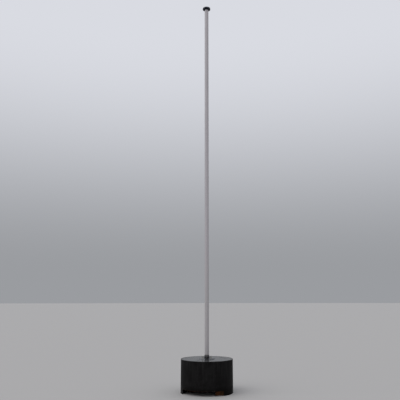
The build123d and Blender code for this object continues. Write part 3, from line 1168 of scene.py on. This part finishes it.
# %% Turn a clamp screw
SCREW_RADIUS = 6 * MM
SCREW_PITCH = 1.75 * MM
SCREW_CHAMFER = 1.2 * MM
PLAIN_TIP = 4 * MM
RUN_OUT = 0.4 * MM
KEY_FLATS = 6 * MM
KEY_DEPTH = 6 * MM
KEY_CHAMFER = 0.3 * MM
KEY_MOUTH = KEY_FLATS + 0.5 * MM
TIP_MIDDLE = 0.01 * MM
BOSS_REACH = 8 * MM
SCREW_PROUD = 3 * MM
screw_core = SCREW_RADIUS - THREAD_DEPTH * SCREW_PITCH
screw_tip = mast_radius + 0.1 * MM
screw_head = socket_radius + BOSS_REACH + SCREW_PROUD
thread_start, thread_end = screw_tip + PLAIN_TIP, screw_head + RUN_OUT
key_bottom = screw_head - KEY_DEPTH


def upright_grub_screw():
    """A grub screw along Z, grown from the bottom of its key recess over the head to the tip."""
    body = bmesh.new()
    bmesh.ops.create_circle(body, cap_ends=True, segments=HEXAGON_STEPS, radius=KEY_FLATS / 4)
    bmesh.ops.translate(body, verts=body.verts, vec=(0, 0, key_bottom))
    loop = open_edges(body)
    for place in (
        on_hexagon(KEY_FLATS, key_bottom),
        on_hexagon(KEY_FLATS, screw_head - KEY_CHAMFER),
        on_hexagon(KEY_MOUTH, screw_head),
        at(screw_core, screw_head),
        at(screw_core, screw_tip),
        at(TIP_MIDDLE, screw_tip),
    ):
        loop = grow(body, loop, place)
    bmesh.ops.holes_fill(body, edges=loop)
    ridge = wound_ridge(SCREW_RADIUS, SCREW_PITCH, thread_start, thread_end, SCREW_CHAMFER)
    return joined(body, ridge)


# %% Lay the three clamp screws down to their bosses
def lay_down(shape, number):
    """Turn a shape made along Z to the axis of this screw, and give back that direction."""
    low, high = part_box(f"clamp_screw_{number}")
    middle = (low + high) / 2
    outwards = Vector((middle.x, middle.y, 0)).normalized()
    aim = outwards.to_track_quat("Z", "Y").to_matrix().to_4x4()
    lift = Matrix.Translation((0, 0, middle.z))
    bmesh.ops.transform(shape, verts=shape.verts, matrix=lift @ aim)
    return outwards


for number in (1, 2, 3):
    screw = upright_grub_screw()
    lay_down(screw, number)
    piece(f"grub_screw_{number}", screw, "zinc_fasteners", f"clamp_screw_{number}")

# %% [markdown]
# A boss is a short round bar set on a round tube, so the joint between them is not flat: it
# dips at the two sides, where the tube falls away. The bead is made flat first, and every
# vertex of it is then lowered by as much as the tube falls away under it.

# %% Weld the three bosses
BOSS_RADIUS = 11 * MM
BOSS_LEG = 2.6 * MM
BOSS_RIPPLES = 28
boss_ripple = FULL_TURN * BOSS_RADIUS / BOSS_RIPPLES
for number in (1, 2, 3):
    bead = ring_bead(BOSS_RADIUS, socket_radius, BOSS_LEG, boss_ripple)
    outwards = lay_down(bead, number)
    for vertex in bead.verts:
        sideways = vertex.co - Vector((0, 0, vertex.co.z)) - outwards * vertex.co.dot(outwards)
        fall = socket_radius - math.sqrt(socket_radius ** 2 - sideways.length_squared)
        vertex.co -= outwards * fall
    piece(f"boss_weld_{number}", bead, "socket_paint")

# %% [markdown]
# ## The mushroom cap
#
# The cap is one nylon moulding: a domed disc with a drip lip, eight thin ribs under the disc,
# a neck as wide as the mast, and a hollow spigot that is pushed into the tube. Every edge of
# a moulding is rounded, since a mould can't be milled quite sharp. It is turned, its outer
# edges are rounded, and one rib is made and then copied round the axis by `spin`.

# %% Turn the cap
cap_low, cap_high = (corner.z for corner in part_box("top_cap"))
mast_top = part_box("mast_tube")[1].z
cap_radius = radius_of("top_cap")
DOME_RISE = 10 * MM
DOME_STEPS = 12
EDGE_HEIGHT = 16 * MM
LIP_DEPTH = 5 * MM
LIP_WALL = 4 * MM
SPIGOT_WALL = 4 * MM
# The mast's 3 mm wall and a play of 0.3 mm
SPIGOT_STEP = 3.3 * MM
spigot_radius = mast_radius - SPIGOT_STEP
spigot_bore = spigot_radius - SPIGOT_WALL
edge_top = cap_high - DOME_RISE
# The spigot's bore ends inside the disc, a little below the edge of the dome
bore_end = edge_top - 1 * MM
underside = edge_top - EDGE_HEIGHT
lip_radius = cap_radius - LIP_WALL
lip_low = underside - LIP_DEPTH
dome_radius = (cap_radius ** 2 + DOME_RISE ** 2) / (2 * DOME_RISE)
dome_reach = math.asin(cap_radius / dome_radius)
dome_angles = [dome_reach * step / DOME_STEPS for step in range(DOME_STEPS + 1)]
dome = [(dome_radius * math.sin(a), cap_high - dome_radius * (1 - math.cos(a))) for a in dome_angles]
cap = turned(
    dome
    + [
        (cap_radius, lip_low),
        (lip_radius, lip_low),
        (lip_radius, underside),
        (mast_radius, underside),
        (mast_radius, mast_top),
        (spigot_radius, mast_top),
        (spigot_radius, cap_low),
        (spigot_bore, cap_low),
        (spigot_bore, bore_end),
        (0, bore_end),
    ],
    steps=144,
)
print("the cap is turned in", len(cap.faces), "faces")

# %% Round the edges of the cap
RIM_ROUND = 1.4 * MM
LIP_ROUND = 1.0 * MM
NECK_ROUND = 2.0 * MM
rims = level_edges(cap, lambda co: co.xy.length > cap_radius - TOUCH)
round_off(cap, rims, RIM_ROUND, segments=4)
lip = level_edges(
    cap, lambda co: abs(co.xy.length - lip_radius) < TOUCH and co.z < underside - TOUCH
)
round_off(cap, lip, LIP_ROUND, segments=3)
neck = level_edges(
    cap, lambda co: abs(co.xy.length - mast_radius) < TOUCH and co.z > underside - TOUCH
)
round_off(cap, neck, NECK_ROUND, segments=4)
print("rounded", len(rims) + len(lip) + len(neck), "edges of the cap")

# %% Add the ribs under the disc
RIB_COUNT = 8
RIB_WALL = 2.5 * MM
RIB_HEIGHT = 4 * MM
RIB_SUNK = 1 * MM
RIB_ROUND = 0.7 * MM
rib = bmesh.new()
bmesh.ops.create_cube(rib, size=1)
rib_reach = cap_radius - LIP_WALL / 2 - mast_radius
bmesh.ops.scale(rib, verts=rib.verts, vec=(rib_reach, RIB_WALL, RIB_HEIGHT + RIB_SUNK))
rib_middle = mast_radius + rib_reach / 2 - RIB_SUNK / 2
rib_level = underside - RIB_HEIGHT / 2 + RIB_SUNK / 2
bmesh.ops.translate(rib, verts=rib.verts, vec=(rib_middle, 0, rib_level))
long_edges = [edge for edge in rib.edges if edge.calc_length() > RIB_HEIGHT * 2]
lower_edges = [edge for edge in long_edges if edge.verts[0].co.z < rib_level]
round_off(rib, lower_edges, RIB_ROUND, segments=3)
bmesh.ops.spin(
    rib,
    geom=rib.verts[:] + rib.edges[:] + rib.faces[:],
    cent=(0, 0, 0),
    axis=(0, 0, 1),
    dvec=(0, 0, 0),
    angle=FULL_TURN * (RIB_COUNT - 1) / RIB_COUNT,
    steps=RIB_COUNT - 1,
    use_duplicate=True,
)
piece("cap_moulded", joined(cap, rib), "cap_moulding", "top_cap")

# %% [markdown]
# ## The timber bearers
#
# The bearers are offcuts of a sawn beam. A box with crisp edges would look like a drawing of
# one. The real thing has soft, bruised arrises, faces that the saw left rough, and splits in
# the end grain, which run out from the pith because wood shrinks most along its rings. The box
# is cut into cells of about 4 mm by 6 mm, and then three rules move its vertices: bruises at
# the arrises, roughness drawn out along the fibres, and splits pushed into the ends.

# %% Saw the beam
ARRIS = 3 * MM
CELL = (3.6 * MM, 6 * MM, 3.6 * MM)


def sawn_box(size):
    """A box with rounded arrises, cut into cells."""
    shape = bmesh.new()
    bmesh.ops.create_cube(shape, size=1)
    bmesh.ops.scale(shape, verts=shape.verts, vec=size)
    round_off(shape, shape.edges[:], ARRIS)
    for axis in range(3):
        span = size[axis] - 2 * ARRIS
        along = [
            edge
            for edge in shape.edges
            if abs(abs(edge.verts[0].co[axis] - edge.verts[1].co[axis]) - span) < 0.01 * MM
        ]
        cut_up(shape, along, round(span / CELL[axis]))
    return shape


# %% Wear the beam
BRUISE_DEPTH, BRUISE_REACH, BRUISE_GRAIN = 3 * MM, 7 * MM, 38 * MM
# Noise above minus this bruises, so bruises cover more than half of an arris
BRUISE_START = 0.25
SAW_ROUGHNESS, SAW_GRAIN = 0.35 * MM, 6 * MM
# How much the length of the beam counts in the saw's marks, and in where inwards is
MARKS_ALONG = 0.15
INWARDS_ALONG = 0.05


def worn(place, half, seed):
    """How far wear and the saw have moved this place on a beam that lies along Y."""
    near = sorted((half[axis] - abs(place[axis])) for axis in range(3))
    bruise = math.exp(-(near[0] + near[1]) / BRUISE_REACH) * BRUISE_DEPTH
    bruise *= max(0.0, BRUISE_START + noise.noise(place / BRUISE_GRAIN + seed))
    drawn_out = Vector((place.x, place.y * MARKS_ALONG, place.z)) / SAW_GRAIN
    rough = SAW_ROUGHNESS * noise.noise(drawn_out + seed)
    outwards = Vector((place.x, place.y * INWARDS_ALONG, place.z)).normalized()
    return -outwards * (bruise + SAW_ROUGHNESS + rough)


# %% Split the ends of the beam
SPLIT_DIRECTIONS = [math.radians(angle) for angle in (58, 84, 103, 131)]
SPLIT_DEPTH = 22 * MM
SPLIT_WIDTH = 1.9 * MM
SPLIT_WAVER = 1.2 * MM
WAVERS_PER_METRE = 60
RADIANS_PER_METRE = 90


def split_depth(place, pith, start):
    """How deep the splits are here, on rays from the pith that open `start` away from it."""
    spoke = Vector((place.x - pith.x, place.z - pith.z))
    depth = 0.0
    for direction in SPLIT_DIRECTIONS:
        ray = Vector((math.cos(direction), math.sin(direction)))
        along_ray = spoke.dot(ray)
        waver = noise.noise(Vector((along_ray * WAVERS_PER_METRE, direction, 0)))
        off_ray = abs(spoke.cross(ray) + SPLIT_WAVER * waver)
        if along_ray > start and off_ray < SPLIT_WIDTH:
            uneven = 0.6 + 0.4 * math.sin(place.x * RADIANS_PER_METRE + direction)
            depth += SPLIT_DEPTH * (1 - off_ray / SPLIT_WIDTH) * uneven
    return depth


# %% Lay the two bearers
# A turned box of width w and length l fills w cos t + l sin t across, and w sin t + l cos t
# along, so its own width and length come back from the box round the CAD node. The pith is
# below the beam, by a share of its height, and a share of its width to one side.
PITH_BELOW = 0.8
SPLIT_START = 0.55
cosine, sine = math.cos(fork_turn), math.sin(fork_turn)
for side, pith_aside, seed in (("right", 0.32, 3), ("left", -0.41, 11)):
    low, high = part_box(f"bearer_{side}")
    middle = (low + high) / 2
    across, along = high.x - low.x, high.y - low.y
    width = (across * cosine - along * sine) / (cosine ** 2 - sine ** 2)
    length = (along * cosine - across * sine) / (cosine ** 2 - sine ** 2)
    size = Vector((width, length, high.z - low.z))
    pith = Vector((width * pith_aside, 0, -size.z * PITH_BELOW))
    shape = sawn_box(size)
    for vertex in shape.verts:
        place = vertex.co.copy()
        vertex.co += worn(place, size / 2, Vector((seed, 0, 0)))
        if size.y / 2 - abs(place.y) < 0.1 * MM:
            vertex.co.y -= math.copysign(split_depth(place, pith, size.z * SPLIT_START), place.y)
    bmesh.ops.rotate(shape, verts=shape.verts, matrix=Matrix.Rotation(-fork_turn, 3, "Z"))
    bmesh.ops.translate(shape, verts=shape.verts, vec=middle)
    pith_place = Matrix.Rotation(fork_turn, 3, "Z") @ middle + pith
    dirty_shaded_side = math.copysign(1, pith.x)
    finish_name = f"wet_sawn_softwood_{side}"
    finishes["timber"] = sawn_softwood(finish_name, fork_turn, pith_place, dirty_shaded_side)
    dress(f"bearer_{side}", finishes["timber"])
    piece(f"bearer_{side}_sawn", shape, "timber", f"bearer_{side}")
    print("bearer", side, "is", round(width, 3), "by", round(length, 3), "by", round(size.z, 3))

# %% [markdown]
# ## Floor, light and camera
#
# The flagpole stands on a plain pale floor that runs to the horizon. The light is plain and
# soft: a dome all round, greyer at the horizon and paler towards the top, and one lamp high on
# the front left, 60 degrees wide, which makes the left of each round part a little lighter.

# %% Lay the floor
FLOOR_RADIUS = 400.0
floor_shape = bmesh.new()
bmesh.ops.create_circle(floor_shape, cap_ends=True, segments=128, radius=FLOOR_RADIUS)
floor_mesh = bpy.data.meshes.new("floor")
floor_shape.to_mesh(floor_mesh)
floor_shape.free()
floor = bpy.data.objects.new("floor", floor_mesh)
bpy.context.scene.collection.objects.link(floor)
floor_finish = start_finish("plain_pale_floor")[0]
end_finish(floor_finish, linear("#b2b0ad"), Roughness=0.8)
floor.data.materials.append(floor_finish)
floor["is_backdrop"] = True
print("the floor is", FLOOR_RADIUS, "m to each side")

# %% Light the scene
LAMP_STRENGTH = 0.9
LAMP_WIDTH = math.radians(60)
LAMP_AIM = Vector((0.8, 0.5, -0.9))
light_dome = bpy.data.worlds.new("soft_light_dome")
light_dome.use_nodes = True
direction = add(light_dome, "TexCoord", "Generated", {})
tone = layer(light_dome, "#9a9ca0", "#d9dbe2", fade(light_dome, direction, "Z", 0.05, 0.5))
background = light_dome.node_tree.nodes["Background"]
light_dome.node_tree.links.new(tone, background.inputs["Color"])
bpy.context.scene.world = light_dome
lamp_data = bpy.data.lights.new("soft_lamp", "SUN")
lamp_data.energy = LAMP_STRENGTH
lamp_data.angle = LAMP_WIDTH
lamp = bpy.data.objects.new("soft_lamp", lamp_data)
lamp.rotation_euler = LAMP_AIM.to_track_quat("-Z", "Y").to_euler()
bpy.context.scene.collection.objects.link(lamp)
bpy.context.scene.view_settings.view_transform = "Standard"
print("lit by", light_dome.name, "and", lamp.name)

# %% [markdown]
# The camera stands 9.6 m in front of the mast at eye height and looks up by 11.4 degrees, which
# is what makes the cap show its underside and the drum its top. A 45 mm lens on a 36 mm sensor
# takes in the whole height, and a slight sideways shift puts the mast right of the middle. A
# camera held by hand is never quite level, and here it rolls by a twentieth of a degree.

# %% Set up the camera
EYE_HEIGHT = 1.626
DISTANCE = 9.60
PITCH = math.radians(11.42)
ROLL = math.radians(0.05)
FRAME_PIXELS = 400
SHIFT_PIXELS = -6.8
camera_data = bpy.data.cameras.new("camera")
camera_data.lens = 45
camera_data.sensor_width = 36
camera_data.shift_x = SHIFT_PIXELS / FRAME_PIXELS
camera = bpy.data.objects.new("camera", camera_data)
camera.location = (0, -DISTANCE, EYE_HEIGHT)
camera.rotation_euler = (math.radians(90) + PITCH, ROLL, 0)
bpy.context.scene.collection.objects.link(camera)
bpy.context.scene.camera = camera
print("the camera stands", DISTANCE, "m away and", EYE_HEIGHT, "m high")

# %% [markdown]
# ## Measure the dressed scene
#
# The looks may not outgrow the CAD model, so the two boxes are compared and the difference at
# each corner is printed.

# %% Compare the two boxes
dressed_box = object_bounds()
grown = [[round((b - a) / MM, 2) for a, b in zip(*corners)] for corners in zip(cad_box, dressed_box)]
print("the corners of the dressed box differ from the CAD box by", grown, "mm")
